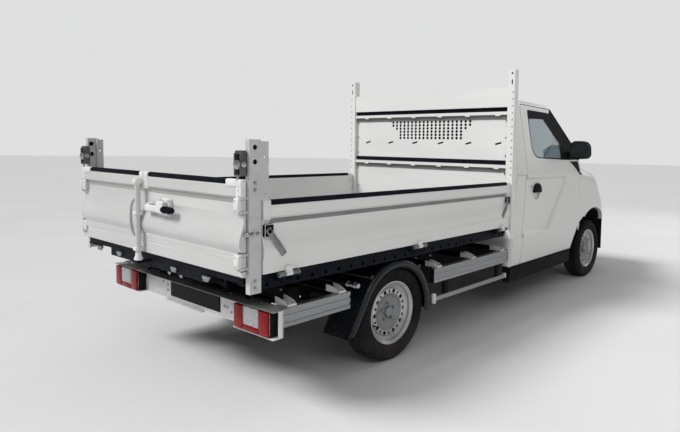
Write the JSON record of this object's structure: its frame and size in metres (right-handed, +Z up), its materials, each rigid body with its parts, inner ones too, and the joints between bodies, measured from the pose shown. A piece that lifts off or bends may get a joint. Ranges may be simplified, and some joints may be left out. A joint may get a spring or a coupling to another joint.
{
  "type": "light tipper chassis cab",
  "caption": "Light chassis cab with a dropside tipping body: hinged doors, steered front wheels, folding sides and swinging gate leaves.",
  "frame": {"origin": "on the road, under the middle of the vehicle's overall length and width", "axes": "+X forwards, +Y to the vehicle's left, +Z up"},
  "size_m": [5.307, 2.1628, 2.03],
  "materials": {
    "white_paint": "semi-gloss",
    "body_board": "white coated profile",
    "dark_paint": "satin",
    "black_plastic": "grained",
    "glass": "clear tint",
    "tyre": "matt",
    "rim_paint": "silver",
    "aluminium": "mill finish",
    "floor_plate": "worn",
    "lamp_red": "clear lens",
    "lamp_clear": "clear lens",
    "seat_fabric": "woven",
    "steel": "ground",
    "cast": "black"
  },
  "bodies": {
    "chassis": {"cab_floor": "dark_paint", "cab_rear_wall": "white_paint", "cab_roof": "white_paint", "cab_sides": "white_paint", "bonnet": "white_paint", "front_wings": "white_paint", "front_bumper": "white_paint", "front_grille": "black_plastic", "front_carrier": "black_plastic", "headlamps": "lamp_clear", "cab_glass": "glass", "seats": "seat_fabric", "dashboard": "black_plastic", "sills_and_liners": "black_plastic", "battery_and_motor": "dark_paint", "chassis_frame": "dark_paint", "front_subframe": "cast", "rear_axle": "cast", "mudguards": "black_plastic", "side_rails": "aluminium", "rail_brackets": "white_paint", "rear_beam": "white_paint", "tail_lamps": "lamp_red", "tipper_subframe": "dark_paint"},
    "cab_door_left": {"door_left": "white_paint", "door_glass_left": "glass", "mirror_left": "black_plastic"},
    "cab_door_right": {"door_right": "white_paint", "door_glass_right": "glass", "mirror_right": "black_plastic"},
    "knuckle_left": {"knuckle_left": "cast"},
    "knuckle_right": {"knuckle_right": "cast"},
    "bed": {"bed_floor": "floor_plate", "bed_frame": "dark_paint", "bed_cross_beams": "dark_paint", "bed_side_beams": "dark_paint", "headboard": "white_paint", "rear_posts": "body_board"},
    "dropside_left": {"dropside_left": "body_board"},
    "dropside_right": {"dropside_right": "body_board"},
    "gate_left": {"gate_left": "body_board"},
    "gate_right": {"gate_right": "body_board"},
    "ram_barrel": {"ram_barrel": "cast"},
    "ram_sleeve": {"ram_sleeve": "steel"},
    "ram_rod": {"ram_rod": "steel"},
    "wheel_front_left": {"tyre_front_left": "tyre", "rim_front_left": "rim_paint"},
    "wheel_front_right": {"tyre_front_right": "tyre", "rim_front_right": "rim_paint"},
    "wheel_rear_left": {"tyre_rear_left": "tyre", "rim_rear_left": "rim_paint"},
    "wheel_rear_right": {"tyre_rear_right": "tyre", "rim_rear_right": "rim_paint"}
  },
  "joints": [
    {"name": "door_left_swing", "type": "hinge", "parent": "chassis", "child": "cab_door_left", "pos_m": [1.4305, 0.882, 0.8], "axis": [0, 0, -1], "range_deg": [0, 60]},
    {"name": "door_right_swing", "type": "hinge", "parent": "chassis", "child": "cab_door_right", "pos_m": [1.4305, -0.882, 0.8], "axis": [0, 0, 1], "range_deg": [0, 60]},
    {"name": "steer_left", "type": "hinge", "parent": "chassis", "child": "knuckle_left", "pos_m": [1.8625, 0.69, 0.311], "axis": [0, 0, 1], "range_deg": [-33, 33]},
    {"name": "steer_right", "type": "hinge", "parent": "chassis", "child": "knuckle_right", "pos_m": [1.8625, -0.69, 0.311], "axis": [0, 0, 1], "range_deg": [-33, 33]},
    {"name": "spin_front_left", "type": "hinge", "parent": "knuckle_left", "child": "wheel_front_left", "pos_m": [1.8625, 0.745, 0.311], "axis": [0, 1, 0], "continuous": true},
    {"name": "spin_front_right", "type": "hinge", "parent": "knuckle_right", "child": "wheel_front_right", "pos_m": [1.8625, -0.745, 0.311], "axis": [0, 1, 0], "continuous": true},
    {"name": "spin_rear_left", "type": "hinge", "parent": "chassis", "child": "wheel_rear_left", "pos_m": [-1.4225, 0.745, 0.311], "axis": [0, 1, 0], "continuous": true},
    {"name": "spin_rear_right", "type": "hinge", "parent": "chassis", "child": "wheel_rear_right", "pos_m": [-1.4225, -0.745, 0.311], "axis": [0, 1, 0], "continuous": true},
    {"name": "bed_tip", "type": "hinge", "parent": "chassis", "child": "bed", "pos_m": [-2.3525, 0, 0.598], "axis": [0, -1, 0], "range_deg": [0, 45]},
    {"name": "dropside_left_fold", "type": "hinge", "parent": "bed", "child": "dropside_left", "pos_m": [-1.2725, 0.925, 0.742], "axis": [-1, 0, 0], "range_deg": [0, 175]},
    {"name": "dropside_right_fold", "type": "hinge", "parent": "bed", "child": "dropside_right", "pos_m": [-1.2725, -0.925, 0.742], "axis": [1, 0, 0], "range_deg": [0, 175]},
    {"name": "gate_left_swing", "type": "hinge", "parent": "bed", "child": "gate_left", "pos_m": [-2.6075, 0.892, 0.98], "axis": [0, 0, -1], "range_deg": [0, 180]},
    {"name": "gate_right_swing", "type": "hinge", "parent": "bed", "child": "gate_right", "pos_m": [-2.6075, -0.892, 0.98], "axis": [0, 0, 1], "range_deg": [0, 180]},
    {"name": "ram_swing", "type": "hinge", "parent": "chassis", "child": "ram_barrel", "pos_m": [-1.7525, 0, 0.33], "axis": [0, -1, 0], "range_deg": [0, 30]},
    {"name": "ram_sleeve_slide", "type": "slide", "parent": "ram_barrel", "child": "ram_sleeve", "axis": [0.29, 0, 0.957], "range_m": [0, 0.245]},
    {"name": "ram_rod_slide", "type": "slide", "parent": "ram_sleeve", "child": "ram_rod", "axis": [0.29, 0, 0.957], "range_m": [0, 0.245]}
  ],
  "couplings": [
    {"joint": "steer_right", "follows": "steer_left", "ratio": 1},
    {"joint": "ram_swing", "follows": "bed_tip", "ratio": 0.60694},
    {"joint": "ram_sleeve_slide", "follows": "bed_tip", "m_per_rad": 0.30279},
    {"joint": "ram_rod_slide", "follows": "bed_tip", "m_per_rad": 0.30279}
  ]
}
